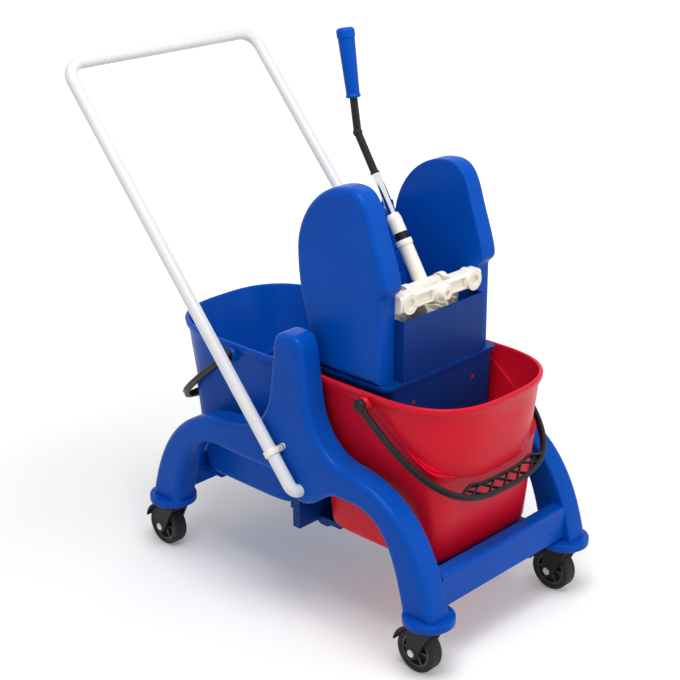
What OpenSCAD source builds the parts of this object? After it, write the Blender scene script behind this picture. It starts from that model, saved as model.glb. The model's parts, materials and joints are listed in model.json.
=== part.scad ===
// Double mop bucket trolley on four swivel casters, with a press wringer and a push handle.
// All sizes are millimetres. +X points to the front (red bucket), +Z is up, the floor is z = 0.

/* [Running gear] */
// distance between the front and rear caster stems
wheelbase = 620; // [600:5:660]
// diameter of a caster wheel
wheel_d = 76; // [72:1:80]
// width of a caster wheel
wheel_w = 26; // [22:1:28]
// distance that a wheel trails behind its stem
caster_trail = 18; // [14:1:22]

/* [Side frames] */
// thickness of a side frame, across the trolley
frame_t = 46; // [44:1:52]
// height of the arch under a side frame above the caster sockets
arch_h = 163; // [155:1:170]
// thickness of an arm at its shoulder
arm_t = 53; // [48:1:58]
// width of a tower at its top
tower_w = 64; // [60:1:72]
// height of the towers above the bucket rims
tower_rise = 76; // [66:1:84]

/* [Buckets] */
// half of the width over a bucket rim
rim_half = 157; // [154:1:160]
// height of a bucket
bucket_h = 286; // [280:1:296]
// wall of a bucket
bucket_wall = 3; // [2.5:0.1:3.4]
// distance between the two bucket rims
rim_gap = 30; // [28:1:36]
// length of a bail from its pivots to its crossbar
bail_len = 224; // [222:1:230]
// how much farther the rim and bail of the blue bucket reach
rear_more = 26; // [16:1:28]
// angle of a hanging bail below level
bail_hang = 39; // [38:0.5:41]

/* [Wringer] */
// half of the width over the wringer cheeks
cheek_half = 139; // [138:0.5:141]
// thickness of a cheek
cheek_t = 40; // [38:0.5:42]
// depth of a cheek, front to back at its foot
cheek_depth = 136; // [132:1:140]
// height of the cheeks above their foot
cheek_h = 312; // [304:1:320]
// distance that a cheek leans back over its height
cheek_lean = 47; // [40:1:50]
// wall of the wringer trough
trough_wall = 3; // [2.5:0.1:3.5]
// travel of the press plate
press_travel = 61.6; // [56:0.2:61.6]

/* [Lever] */
// radius of the lever tube
lever_r = 8; // [7:0.25:9]
// distance from the lever pivot to the bend of the rod
lever_low = 274; // [262:1:286]
// distance from the bend to the top of the grip
lever_high = 169; // [160:1:178]
// angle of the lower tube behind upright
lever_back = 32; // [30:0.2:34]
// angle of the grip behind upright
grip_back = 9.4; // [6:0.2:12]

/* [Push handle] */
// radius of the handle tube
handle_r = 11; // [10:0.25:11.5]
// wall of the handle tube
handle_wall = 1.5; // [1.2:0.1:2]
// length of a handle leg
handle_len = 834; // [800:2:850]
// angle of the handle behind upright
handle_back = 40.9; // [40:0.1:42]

/* [Hidden] */
$fn = 64;
// clearances
run = 0.05;
fit = 0.1;
gap = 0.3;
ease = 3;
eps = 0.01;

// heights, from the floor up
socket_z = wheel_d + 19;
flange_t = 14;
leg_z = socket_z + flange_t;
bar_z0 = socket_z + 17;
bar_z1 = socket_z + 78;
ledge_z = socket_z + 54;
ledge_t = 10;
floor_z = ledge_z + gap;
arch_z = socket_z + arch_h;
arm_z = arch_z + arm_t;
rim_z = floor_z + bucket_h;
tower_z = rim_z + tower_rise;
beam_z = rim_z + 46;
cheek_z = rim_z + 6;

// lengths, from the middle of the wheelbase to the front
stem_x = wheelbase / 2;
bar_t = 30;
bar_x0 = stem_x - 18;
bar_x1 = bar_x0 + bar_t;
rim_front = stem_x + 15;
beam_x = -6;
rim_back = beam_x + rim_gap / 2;
tower_x = 22;
beam_t = 16;

// widths, from the middle plane outwards
frame_in = rim_half + ease;
frame_out = frame_in + frame_t;
stem_y = frame_in + frame_t / 2 - 4;
cheek_in = cheek_half - cheek_t;
lip = 4;
handle_y = frame_out + ease + handle_r;

// casters
stem_r = 5.5;
stem_depth = 36;
flange_r = 43;
axle_r = 4;
axle_z = wheel_d / 2;
tyre_t = 9;
tyre_round = 4;
fork_t = 4.5;
fork_gap = 3;
fork_in = wheel_w / 2 + fork_gap;
crown_r = 23;
crown_z0 = wheel_d + 4;
hood_in = wheel_d / 2 + 3;
hood_t = 3;

// bails
bail_x = rim_front - 175;
bail_z = rim_z - 20;
pin_r = 4;
bail_half = rim_half + 11;
bail_w = 12;
bail_thick = 8;
bail_power = 3;
boss_r = 12;
boss_out = bail_half - bail_thick / 2 - 0.5;

// bucket outline
rim_mid = (rim_front + rim_back) / 2;
front_power = 2.8;
back_power = 8;
box_power = 7;
floor_half = rim_half - 27;
low_half = rim_half - 7;
floor_front = bar_x0 + 2 * beam_x - ease - 2;
low_front = floor_front + 19;
floor_back = rim_back + 20;
low_back = rim_back + 5;
crease_angle = bail_hang - 3;
bucket_n = 64;

// wringer
cheek_x0 = rim_back + 18;
cheek_x1 = cheek_x0 + cheek_depth;
trough_x0 = cheek_x0 + 5;
trough_x1 = cheek_x1 + 18;
trough_half = rim_half - 28;
trough_z = rim_z - 94;
apron_z = cheek_z + 103;
plate_t = 6;
plate_half = cheek_in - trough_wall - 1.5;
plate_x = trough_x1 - 56;
plate_z0 = trough_z + trough_wall + ease;
plate_z1 = apron_z - 5;
rod_r = 4;
rod_y = 74;
rod_z = trough_z + 60;

// lever mechanism
pivot_x = trough_x1 - 47;
pivot_z = apron_z + 23;
shaft_r = 6;
hub_r = 13;
hub_half = 34;
eye_t = 12;
eye_r = 15;
eye_y = hub_half + 4;
crank = 50;
crank_angle = asin(press_travel / 2 / crank);
bar_r = 5;
arm_y = 18;
arm_w = 8;
bridge_x0 = pivot_x + 14;
bridge_x1 = bridge_x0 + 26;
bridge_z0 = pivot_z - 12;
bridge_z1 = pivot_z + 16;
notch_half = 30;
bridge_mid = (bridge_z0 + bridge_z1) / 2;
lobe_y = cheek_in - 20;
socket_len = 83;
collar_len = 13;
ferrule_len = 33;
tube_in = 24;
tube_wall = 1.5;
bend = lever_back - grip_back;
rod_from = lever_low - 74;
rod_socket = 20;
lever_rod_r = lever_r - tube_wall;
grip_len = 112;

// handle and clip
foot_x = tower_x + 28;
foot_z = arch_z - 12;
foot_bend = handle_y - frame_out;
corner_r = 34;
foot_in = 30;
clip_at = 76;
clip_w = 11;
clip_reach = 18;
clip_t = 2.5;
screw_r = 2.5;
screw_head = 5;

// the middle of the whole trolley goes on x = 0
front_most = stem_x + flange_r;
handle_top_x = foot_x - handle_len * sin(handle_back);
back_most = handle_top_x - handle_r;
shift_x = -(front_most + back_most) / 2;

// colours
blue = [0.02, 0.22, 0.60];
dark_blue = [0.02, 0.14, 0.42];
red = [0.80, 0.06, 0.12];
black = [0.06, 0.06, 0.07];
grey = [0.35, 0.36, 0.38];
white = [0.90, 0.91, 0.90];
steel = [0.75, 0.76, 0.78];

// outline helpers
function bezier(a, b, c, d, n) = [
    for (i = [0 : n - 1])
        let (t = i / n, s = 1 - t)
        a * s * s * s + b * 3 * s * s * t + c * 3 * s * t * t + d * t * t * t
];
function unit(v) = v / norm(v);
function out_of(a, b) = let (e = unit(b - a)) [e[1], -e[0]];
// an outline that runs anticlockwise, moved inwards
function inset(pts, d) = let (n = len(pts)) [
    for (i = [0 : n - 1])
        let (
            m = out_of(pts[(i + n - 1) % n], pts[i]),
            k = out_of(pts[i], pts[(i + 1) % n])
        )
        pts[i] - d * (m + k) / (1 + m * k)
];

// a closed skin through rings that all have the same number of points; strips close its two ends
module skin(rings) {
    n = len(rings[0]);
    m = len(rings);
    pts = [for (ring = rings) each ring];
    sides = [
        for (k = [0 : m - 2], i = [0 : n - 1])
            let (j = (i + 1) % n)
            each [[k * n + i, (k + 1) * n + i, (k + 1) * n + j], [k * n + i, (k + 1) * n + j, k * n + j]]
    ];
    top = (m - 1) * n;
    ends = [
        for (i = [0 : floor(n / 2) - 2])
            let (j = n - 1 - i)
            each [[i, i + 1, j - 1], [i, j - 1, j],
                  [top + j, top + j - 1, top + i], [top + j - 1, top + i + 1, top + i]]
    ];
    polyhedron(points = pts, faces = concat(sides, ends), convexity = 8);
}

// a plate with rounded edges: outline in x and z, growing from y0 to y1
function plate_ring(pts, y, d) = [for (p = inset(pts, d)) [p[0], y, p[1]]];
module soft_plate(pts, y0, y1, r0, r1) {
    steps = 4;
    rings = concat(
        [for (i = [0 : steps / 2]) let (a = 90 * i / (steps / 2))
            plate_ring(pts, y0 + r0 * (1 - cos(a)), r0 * (1 - sin(a)))],
        [for (i = [0 : steps]) let (a = 90 * i / steps)
            plate_ring(pts, y1 - r1 * (1 - sin(a)), r1 * (1 - cos(a)))]
    );
    skin(rings);
}

// a cylinder along Y
module along_y(r, y0, y1) {
    translate([0, y0, 0])
        rotate([-90, 0, 0])
            cylinder(r = r, h = y1 - y0);
}

// a block with rounded upright edges
module soft_block(x0, x1, y0, y1, z0, z1, r) {
    translate([0, 0, z0])
        linear_extrude(z1 - z0)
            soft_square(x0, x1, y0, y1, r);
}
module soft_square(x0, x1, y0, y1, r) {
    translate([x0 + r, y0])
        square([x1 - x0 - 2 * r, y1 - y0]);
    translate([x0, y0 + r])
        square([x1 - x0, y1 - y0 - 2 * r]);
    for (x = [x0 + r, x1 - r], y = [y0 + r, y1 - r])
        translate([x, y])
            circle(r);
}

// side frames
leg_out = stem_x + 28;
leg_in = stem_x - 38;
tower_half = tower_w / 2;
tower_round = 24;
frame_edge = 12;
tower_foot = arm_z + 82;
// upper edge of the front half, from the leg over the arm to the middle of the tower
function frame_upper(side, leg, arm, mid, half) = concat(
    bezier([leg, leg_z], [leg - side * 23, arch_z - 42], [arm + side * 112, arm_z - 10], [arm, arm_z], 12),
    bezier([arm, arm_z], [mid + side * (half + 54), arm_z + 5], [mid + side * (half + 24), arm_z + 36],
           [mid + side * (half + 13), tower_foot], 8),
    bezier([mid + side * (half + 13), tower_foot], [mid + side * (half + 8), tower_foot + 28],
           [mid + side * (half + 2), tower_z - 40], [mid + side * half, tower_z - tower_round], 5),
    bezier([mid + side * half, tower_z - tower_round], [mid + side * (half - 2), tower_z - 9],
           [mid + side * (half - 10), tower_z], [mid + side * (half - tower_round), tower_z], 5),
    [[mid + side * (half - tower_round), tower_z]]
);
// lower edge of the same half: the arch, then the lobe around the handle foot
function under_z(x) =
    let (k = min(1, abs(x - foot_x) / lobe_half))
    arch_z - (arch_z - foot_z + lobe_r) * (1 + cos(180 * k)) / 2;
function under_run(x0, x1, n) = [for (i = [0 : n - 1]) let (x = x0 + (x1 - x0) * i / n) [x, under_z(x)]];
function frame_lower(side, leg, arm, mid, half) = concat(
    bezier([leg, leg_z], [leg - side * 22, arch_z - 47], [arm + side * 75, arch_z],
           [arm + side * 10, arch_z], 12),
    under_run(arm + side * 10, mid + side * (half + 18), 8),
    under_run(mid + side * (half + 18), mid + side * (half + 4), 5),
    under_run(mid + side * (half + 4), mid + side * (half - 12), 5),
    [[mid + side * (half - 12), under_z(mid + side * (half - 12))]]
);
function backwards(pts) = [for (i = [len(pts) - 1 : -1 : 0]) pts[i]];
lobe_half = 80;
lobe_r = 26;
arm_x = stem_x - 160;
frame_outline = concat(
    frame_upper(1, leg_out, arm_x, tower_x, tower_half),
    backwards(frame_upper(-1, -leg_out, -arm_x, tower_x, tower_half)),
    frame_lower(-1, -leg_in, -arm_x, tower_x, tower_half),
    backwards(frame_lower(1, leg_in, arm_x, tower_x, tower_half))
);
spigot_r = 13;
spigot_len = 26;
tenon_t = 14;
tenon_w = 18;
tenon_h = 20;
tenon_z = bar_z1 - 6 - tenon_h;

module side_frame() {
    difference() {
        soft_plate(frame_outline, frame_in, frame_out, 4, frame_edge);
        for (x = [-stem_x, stem_x])
            translate([x, stem_y, 0])
                cylinder(r = spigot_r + fit, h = leg_z + spigot_len + 1);
        translate([foot_x, 0, foot_z])
            along_y(handle_r + fit, frame_out - foot_in - 1, frame_out + 1);
        clip_place()
            translate([clip_reach, 0, 0])
                along_y(screw_r + fit, frame_out - 20, frame_out + 1);
        for (s = [-1, 1])
            translate([s * (bar_x0 + bar_t / 2), frame_in - 1, tenon_z])
                translate([-tenon_w / 2 - fit, 0, -fit])
                    cube([tenon_w + 2 * fit, tenon_t + 1.5, tenon_h + 2 * fit]);
        translate([beam_x - beam_seat_w / 2 - fit, frame_in - 1, beam_seat_z0 - fit])
            cube([beam_seat_w + 2 * fit, beam_seat + 1, beam_seat_z1 - beam_seat_z0 + 2 * fit]);
        for (x = beam_screw_x, z = beam_screw_z)
            translate([x, 0, z])
                along_y(screw_r + fit, frame_in - 1, frame_in + 21);
    }
}
module right_side_frame() {
    color(blue)
        mirror([0, 1, 0])
            side_frame();
}
module left_side_frame() {
    color(blue)
        side_frame();
}

// caster sockets: flanged sleeves under the legs
module caster_sockets() {
    color(blue)
        for (sx = [-1, 1], sy = [-1, 1])
            at_corner(sx, sy)
                translate([0, 0, socket_z])
                    difference() {
                        rotate_extrude() {
                            translate([0, 2])
                                square([flange_r, flange_t - 5]);
                            square([flange_r - 2, flange_t]);
                            translate([flange_r - 3, flange_t - 3])
                                circle(3);
                            translate([flange_r - 2, 2])
                                circle(2);
                            translate([0, flange_t - 1])
                                square([spigot_r, spigot_len + 1]);
                        }
                        translate([0, 0, -1])
                            cylinder(r = stem_r + run, h = stem_depth + 2);
                    }
}

// crossbars
module crossbar() {
    color(blue)
        difference() {
            union() {
                rotate([90, 0, 0])
                    translate([0, 0, -frame_in])
                        linear_extrude(2 * frame_in)
                            soft_square(bar_x0, bar_x1, bar_z0, bar_z1, 6);
                translate([floor_front - 34, 40 - frame_in, ledge_z - ledge_t])
                    cube([bar_x0 + 2 - floor_front + 34, 2 * frame_in - 80, ledge_t]);
                for (y = [-90, 0, 90])
                    translate([0, y + 3, 0])
                        rotate([90, 0, 0])
                            linear_extrude(6)
                                polygon([[bar_x0 + 1, ledge_z - ledge_t - 24], [bar_x0 + 1, ledge_z - 1],
                                         [floor_front - 30, ledge_z - 1]]);
                for (s = [0, 1])
                    mirror([0, s, 0])
                        translate([bar_x0 + bar_t / 2 - tenon_w / 2, frame_in - 1, tenon_z])
                            cube([tenon_w, tenon_t + 1, tenon_h]);
            }
            translate([bar_x0 + 4, 12 - frame_in, bar_z0 - 1])
                cube([bar_t - 8, 2 * frame_in - 24, bar_z1 - bar_z0 - 3]);
        }
}
module front_crossbar() {
    crossbar();
}
module rear_crossbar() {
    mirror([1, 0, 0])
        crossbar();
}

// centre beam between the side frames, with the rail for the wringer hooks
beam_flange = 10;
beam_seat = 2;
beam_seat_w = 72;
beam_seat_z0 = arch_z + 12;
beam_seat_z1 = arm_z + 20;
beam_screw_x = [beam_x - 24, beam_x + 24];
beam_screw_z = [beam_seat_z0 + 10, beam_seat_z1 - 14];
module center_beam() {
    color(dark_blue)
        difference() {
            union() {
                translate([beam_x - beam_t / 2, -frame_in, ledge_z - ledge_t])
                    cube([beam_t, 2 * frame_in, beam_z - beam_t / 2 - ledge_z + ledge_t]);
                translate([beam_x, 0, beam_z - beam_t / 2])
                    along_y(beam_t / 2, -frame_in, frame_in);
                translate([beam_x - 60, -115, ledge_z - ledge_t])
                    cube([120, 230, ledge_t]);
                for (y = [-90, 0, 90])
                    translate([0, y + 3, 0])
                        rotate([90, 0, 0])
                            linear_extrude(6)
                                polygon([[beam_x - 54, ledge_z - ledge_t + 1],
                                         [beam_x + 54, ledge_z - ledge_t + 1],
                                         [beam_x + 8, ledge_z - ledge_t - 22],
                                         [beam_x - 8, ledge_z - ledge_t - 22]]);
                for (s = [0, 1])
                    mirror([0, s, 0])
                        translate([beam_x - beam_seat_w / 2, frame_in - beam_flange, beam_seat_z0])
                            cube([beam_seat_w, beam_flange + beam_seat, beam_seat_z1 - beam_seat_z0]);
            }
            for (x = beam_screw_x, z = beam_screw_z)
                translate([x, 0, z])
                    along_y(screw_r + fit, -frame_in - beam_seat - 1, frame_in + beam_seat + 1);
        }
}
module beam_screws() {
    color(steel)
        for (x = beam_screw_x, z = beam_screw_z, s = [0, 1])
            mirror([0, s, 0])
                translate([x, 0, z]) {
                    along_y(screw_r, frame_in - beam_flange - 1, frame_in + 20);
                    difference() {
                        along_y(screw_head, frame_in - beam_flange - 3, frame_in - beam_flange);
                        translate([-0.6, frame_in - beam_flange - 4, -screw_head])
                            cube([1.2, 2.2, 2 * screw_head]);
                    }
                }
}

// push handle: one bent tube, its feet turned into the side frames
module handle_place() {
    translate([foot_x, 0, foot_z])
        rotate([0, -handle_back, 0])
            children();
}
module handle_path(r, tip) {
    for (s = [0, 1])
        mirror([0, s, 0]) {
            along_y(r, frame_out - foot_in + tip, frame_out);
            translate([0, frame_out, foot_bend])
                rotate([0, -90, 0])
                    rotate([0, 0, 90])
                        rotate_extrude(angle = 90)
                            handle_bend_profile(foot_bend, r);
            translate([0, handle_y, foot_bend])
                cylinder(r = r, h = handle_len - foot_bend - corner_r);
            translate([0, handle_y - corner_r, handle_len - corner_r])
                rotate([0, -90, 0])
                    rotate_extrude(angle = 90)
                        handle_bend_profile(corner_r, r);
            translate([0, 0, handle_len])
                along_y(r, -eps, handle_y - corner_r);
        }
}
module handle_bend_profile(at, r) {
    translate([at, 0])
        circle(r);
}
module push_handle() {
    color(white)
        handle_place()
            difference() {
                handle_path(handle_r, 0);
                handle_path(handle_r - handle_wall, 2);
            }
}
// saddle clips that hold the handle legs against the side frames
module clip_place() {
    handle_place()
        translate([0, 0, clip_at])
            children();
}
module handle_clips() {
    color(white)
        for (s = [0, 1])
            mirror([0, s, 0])
                clip_place()
                    difference() {
                        union() {
                            translate([0, handle_y, -clip_w / 2])
                                cylinder(r = handle_r + clip_t, h = clip_w);
                            translate([0, frame_out, -clip_w / 2])
                                cube([clip_reach, clip_t, clip_w]);
                            translate([clip_reach, 0, 0])
                                along_y(clip_w / 2, frame_out, frame_out + clip_t);
                        }
                        translate([0, handle_y, -clip_w])
                            cylinder(r = handle_r + fit, h = 2 * clip_w);
                        translate([clip_reach, 0, 0])
                            along_y(screw_r + fit, frame_out - 1, frame_out + 9);
                    }
}
module clip_screws() {
    color(steel)
        for (s = [0, 1])
            mirror([0, s, 0])
                clip_place()
                    translate([clip_reach, 0, 0]) {
                        along_y(screw_r, frame_out - 19, frame_out + clip_t + 1);
                        difference() {
                            along_y(screw_head, frame_out + clip_t, frame_out + clip_t + 3);
                            translate([-0.6, frame_out + clip_t + 1.8, -screw_head])
                                cube([1.2, 2.2, 2 * screw_head]);
                        }
                    }
}

// casters: stem, fork, axle, hub and tyre
module fork() {
    color(black)
        difference() {
            union() {
                translate([0, 0, crown_z0])
                    cylinder(r = crown_r, h = socket_z - gap - crown_z0 - 4);
                translate([0, 0, socket_z - gap - 4])
                    cylinder(r1 = crown_r, r2 = crown_r - 4, h = 4);
                for (s = [0, 1])
                    mirror([0, s, 0])
                        translate([0, fork_in + fork_t, 0])
                            rotate([90, 0, 0])
                                linear_extrude(fork_t)
                                    fork_side();
                translate([-caster_trail, 0, axle_z])
                    hood();
            }
            translate([0, 0, crown_z0 - 10])
                cylinder(r = stem_r, h = 40);
            translate([-caster_trail, 0, axle_z]) {
                along_y(axle_r + fit, -40, 40);
                along_y(hood_in, -fork_in, fork_in);
            }
        }
}
module fork_side() {
    polygon([[-caster_trail - 11, axle_z], [-caster_trail + 11, axle_z - 3], [crown_r - 5, crown_z0 + 4],
             [crown_r - 5, crown_z0 + 9], [5 - crown_r, crown_z0 + 9], [-caster_trail - 11, axle_z + 26]]);
    translate([-caster_trail, axle_z])
        circle(11.5);
}
// curved cover over the back and the top of the wheel
module hood() {
    intersection() {
        difference() {
            along_y(hood_in + hood_t, -fork_in - 1, fork_in + 1);
            along_y(hood_in, -fork_in - 2, fork_in + 2);
        }
        translate([-2 * wheel_d, -wheel_d, 8])
            cube([2 * wheel_d + 24, 2 * wheel_d, wheel_d]);
    }
}
module stem() {
    color(steel)
        translate([0, 0, crown_z0 + 1])
            cylinder(r = stem_r, h = socket_z + stem_depth - crown_z0 - 1);
}
module axle() {
    color(steel)
        translate([-caster_trail, 0, axle_z]) {
            along_y(axle_r, -fork_in - fork_t - 3, fork_in + fork_t + 3);
            for (s = [0, 1])
                mirror([0, s, 0]) {
                    along_y(6.5, fork_in + fork_t, fork_in + fork_t + 2.2);
                    along_y(4.8, fork_in + fork_t + 2, fork_in + fork_t + 3.4);
                }
        }
}
module wheel_place() {
    translate([-caster_trail, 0, axle_z])
        rotate([90, 0, 0])
            children();
}
module hub() {
    rim_r = wheel_d / 2 - tyre_t;
    color(grey)
        wheel_place()
            difference() {
                union() {
                    rotate_extrude() {
                        translate([axle_r + run, -wheel_w / 2 - 1.5])
                            square([6, wheel_w + 3]);
                        translate([axle_r + run, -2])
                            square([rim_r - axle_r - 2 * run, 4]);
                        translate([rim_r - 4, 1.5 - wheel_w / 2])
                            square([4, wheel_w - 3]);
                    }
                    for (i = [0 : 5])
                        rotate([0, 0, 60 * i])
                            translate([axle_r + 4, -1.5, 3 - wheel_w / 2])
                                cube([rim_r - axle_r - 6, 3, wheel_w - 6]);
                }
                cylinder(r = axle_r + run, h = 2 * wheel_w, center = true);
            }
}
module tyre() {
    rim_r = wheel_d / 2 - tyre_t;
    color(black)
        wheel_place()
            rotate_extrude() {
                translate([rim_r, -wheel_w / 2])
                    square([tyre_t - tyre_round, wheel_w]);
                translate([rim_r, tyre_round - wheel_w / 2])
                    square([tyre_t, wheel_w - 2 * tyre_round]);
                for (s = [-1, 1])
                    translate([wheel_d / 2 - tyre_round, s * (wheel_w / 2 - tyre_round)])
                        circle(tyre_round);
            }
}
module at_corner(sx, sy) {
    translate([sx * stem_x, sy * stem_y, 0])
        children();
}
module fork_fr() { at_corner(1, -1) fork(); }
module stem_fr() { at_corner(1, -1) stem(); }
module axle_fr() { at_corner(1, -1) axle(); }
module hub_fr() { at_corner(1, -1) hub(); }
module tyre_fr() { at_corner(1, -1) tyre(); }
module fork_fl() { at_corner(1, 1) fork(); }
module stem_fl() { at_corner(1, 1) stem(); }
module axle_fl() { at_corner(1, 1) axle(); }
module hub_fl() { at_corner(1, 1) hub(); }
module tyre_fl() { at_corner(1, 1) tyre(); }
module fork_rr() { at_corner(-1, -1) fork(); }
module stem_rr() { at_corner(-1, -1) stem(); }
module axle_rr() { at_corner(-1, -1) axle(); }
module hub_rr() { at_corner(-1, -1) hub(); }
module tyre_rr() { at_corner(-1, -1) tyre(); }
module fork_rl() { at_corner(-1, 1) fork(); }
module stem_rl() { at_corner(-1, 1) stem(); }
module axle_rl() { at_corner(-1, 1) axle(); }
module hub_rl() { at_corner(-1, 1) hub(); }
module tyre_rl() { at_corner(-1, 1) tyre(); }

// buckets: a box-shaped lower body and a rounded upper body that steps out at a slanting crease
function power_point(t, mid, front, back, half, fp, bp) =
    let (c = cos(t), s = sin(t), p = c >= 0 ? fp : bp)
    [
        mid + (c >= 0 ? front - mid : mid - back) * sign(c) * pow(abs(c), 2 / p),
        half * sign(s) * pow(abs(s), 2 / p)
    ];
function low_point(t, z, d) =
    let (k = (z - floor_z) / (bail_z - floor_z))
    power_point(t, rim_mid - 6, floor_front + k * (low_front - floor_front) - d,
                floor_back + k * (low_back - floor_back) + d,
                floor_half + k * (low_half - floor_half) - d, box_power, box_power);
function high_point(t, z, d, more) =
    let (k = (rim_z - z) / bucket_h)
    power_point(t, rim_mid, rim_front + more - lip - (40 + more) * k - d, rim_back + lip + d,
                rim_half - lip - 8 * k - d, front_power, back_power);
// height of the crease over a point of the outline
function crease_z(x) = min(bail_z - 1, bail_z - (x - bail_x) * tan(crease_angle));
function low_ring(z, d) = [
    for (i = [0 : bucket_n - 1])
        let (p = low_point(360 * i / bucket_n, z, d)) [p[0], p[1], z]
];
function high_ring(z, d, more) = [
    for (i = [0 : bucket_n - 1])
        let (p = high_point(360 * i / bucket_n, z, d, more))
        [p[0], p[1], z]
];
function crease_low(d, up) = [
    for (i = [0 : bucket_n - 1])
        let (
            t = 360 * i / bucket_n,
            q = low_point(t, bail_z - 60, d),
            z = crease_z(q[0]),
            p = low_point(t, z, d)
        )
        [p[0], p[1], z + up]
];
function crease_high(d, up, more) = [
    for (i = [0 : bucket_n - 1])
        let (
            t = 360 * i / bucket_n,
            q = high_point(t, bail_z - 60, d, 0),
            z = crease_z(q[0]),
            p = high_point(t, z, d, more)
        )
        [p[0], p[1], z + up]
];
function bucket_rings(more) = [
    low_ring(floor_z, 12),
    low_ring(floor_z + 3, 4),
    low_ring(floor_z + 11, 0),
    crease_low(0, 0),
    crease_high(0, 0, more),
    high_ring(rim_z - 11, 0, more),
    high_ring(rim_z - 11, -lip, more),
    high_ring(rim_z - 3, -lip, more),
    high_ring(rim_z, 3 - lip, more),
    high_ring(rim_z, bucket_wall - 2, more),
    high_ring(rim_z - 3, bucket_wall, more),
    crease_high(bucket_wall, bucket_wall + 1, more),
    crease_low(bucket_wall, bucket_wall + 1),
    low_ring(floor_z + bucket_wall + 11, bucket_wall),
    low_ring(floor_z + bucket_wall + 3, bucket_wall + 4),
    low_ring(floor_z + bucket_wall, bucket_wall + 12)
];
module bucket(more) {
    difference() {
        union() {
            skin(bucket_rings(more));
            for (s = [0, 1])
                mirror([0, s, 0])
                    translate([bail_x, 0, bail_z])
                        along_y(boss_r, low_half - 1, boss_out);
        }
        translate([bail_x, 0, bail_z])
            along_y(pin_r + run, -frame_out, frame_out);
    }
}
// bail: a band along a rounded U, a lattice grip inside its front, and pins through the bucket wall
bail_n = 36;
grip_half = 88;
grip_run = 40;
grip_depth = 22;
grip_cells = 5;
rail_t = 5;
strut_w = 3.2;
strut_h = 6;
function bail_point(t, far) = [
    far * pow(max(0, cos(t)), 2 / bail_power),
    bail_half * sign(sin(t)) * pow(abs(sin(t)), 2 / bail_power)
];
function bail_edge(d, far) = [
    for (i = [-bail_n / 2 : bail_n / 2])
        let (
            t = 90 * i / (bail_n / 2),
            n = out_of(bail_point(max(-90, t - 1), far), bail_point(min(90, t + 1), far))
        )
        bail_point(t, far) + n * d
];
// reach of the bail at a distance from its middle, and of the grip's inner rail there
function reach(y, far) = far * pow(1 - pow(abs(y) / bail_half, bail_power), 1 / bail_power);
function rail_reach(y, far) =
    let (k = min(1, (grip_half + 0.6 * grip_run - abs(y)) / grip_run))
    reach(y, far) - grip_depth * k * k * (3 - 2 * k);
module inner_rail(far) {
    ys = [for (i = [-20 : 20]) (grip_half + 0.6 * grip_run) * i / 20];
    polygon(concat([for (y = ys) [rail_reach(y, far) + rail_t / 2, y]],
                   backwards([for (y = ys) [rail_reach(y, far) - rail_t / 2, y]])));
}
module strut(a, b) {
    n = out_of(a, b) * strut_w / 2;
    polygon([a + n, b + n, b - n, a - n]);
}
module lattice(far) {
    cell = 2 * grip_half / grip_cells;
    for (i = [0 : grip_cells - 1]) {
        y0 = i * cell - grip_half;
        y1 = y0 + cell;
        strut([rail_reach(y0, far), y0], [reach(y1, far), y1]);
        strut([reach(y0, far), y0], [rail_reach(y1, far), y1]);
    }
}
module bail(far) {
    color(black)
        translate([bail_x, 0, bail_z])
            rotate([0, bail_hang, 0]) {
                translate([0, 0, -bail_w / 2])
                    linear_extrude(bail_w) {
                        polygon(concat(bail_edge(bail_thick / 2, far),
                                       backwards(bail_edge(-bail_thick / 2, far))));
                        inner_rail(far);
                    }
                translate([0, 0, -strut_h / 2])
                    linear_extrude(strut_h)
                        lattice(far);
                for (s = [0, 1])
                    mirror([0, s, 0]) {
                        along_y(11, bail_half - bail_thick / 2 - 0.2, bail_half + bail_thick / 2 + 0.5);
                        along_y(pin_r, low_half - bucket_wall - 1, bail_half);
                    }
            }
}
module to_rear() {
    translate([2 * beam_x, 0, 0])
        mirror([1, 0, 0])
            children();
}
module red_bucket() {
    color(red)
        bucket(0);
}
module red_bail() {
    bail(bail_len);
}
module blue_bucket() {
    color(blue)
        to_rear()
            bucket(rear_more);
}
module blue_bail() {
    to_rear()
        bail(bail_len + rear_more);
}

// wringer cheeks
cheek_top = cheek_z + cheek_h;
cheek_outline = concat(
    bezier([cheek_x1 - 1, cheek_top - 60], [cheek_x1 - 1, cheek_top - 15], [cheek_x1 - 24, cheek_top + 2],
           [cheek_x1 - 59, cheek_top], 9),
    bezier([cheek_x1 - 59, cheek_top], [cheek_x1 - 129, cheek_top - 5],
           [cheek_x0 - cheek_lean - 8, cheek_top - 60], [cheek_x0 - cheek_lean + 1, cheek_top - 120], 14),
    [[cheek_x0 - cheek_lean + 1, cheek_top - 120], [cheek_x0, cheek_z], [cheek_x1, cheek_z]]
);
cheek_wall = 4;
module cheek() {
    color(blue)
        difference() {
            soft_plate(cheek_outline, cheek_in, cheek_half, 3, 10);
            translate([0, cheek_half - cheek_wall, 0])
                rotate([90, 0, 0])
                    linear_extrude(cheek_t - 2 * cheek_wall)
                        cheek_hollow();
            for (x = cheek_screw_x)
                translate([x, (cheek_in + cheek_half) / 2, cheek_z - 1])
                    cylinder(r = screw_r + fit, h = 25);
        }
}
// inside of the moulding, open at its foot, with screw pillars left standing
module cheek_hollow() {
    difference() {
        union() {
            polygon(inset(cheek_outline, cheek_wall + 3));
            translate([cheek_x0 + 22, cheek_z - 1])
                square([cheek_depth - 40, 30]);
        }
        for (x = cheek_screw_x)
            translate([x - 7, cheek_z - 2])
                square([14, 34]);
    }
}
cheek_screw_x = [cheek_x0 + 20, cheek_x1 - 20];
module right_cheek() {
    mirror([0, 1, 0])
        cheek();
}
module left_cheek() {
    cheek();
}
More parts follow.
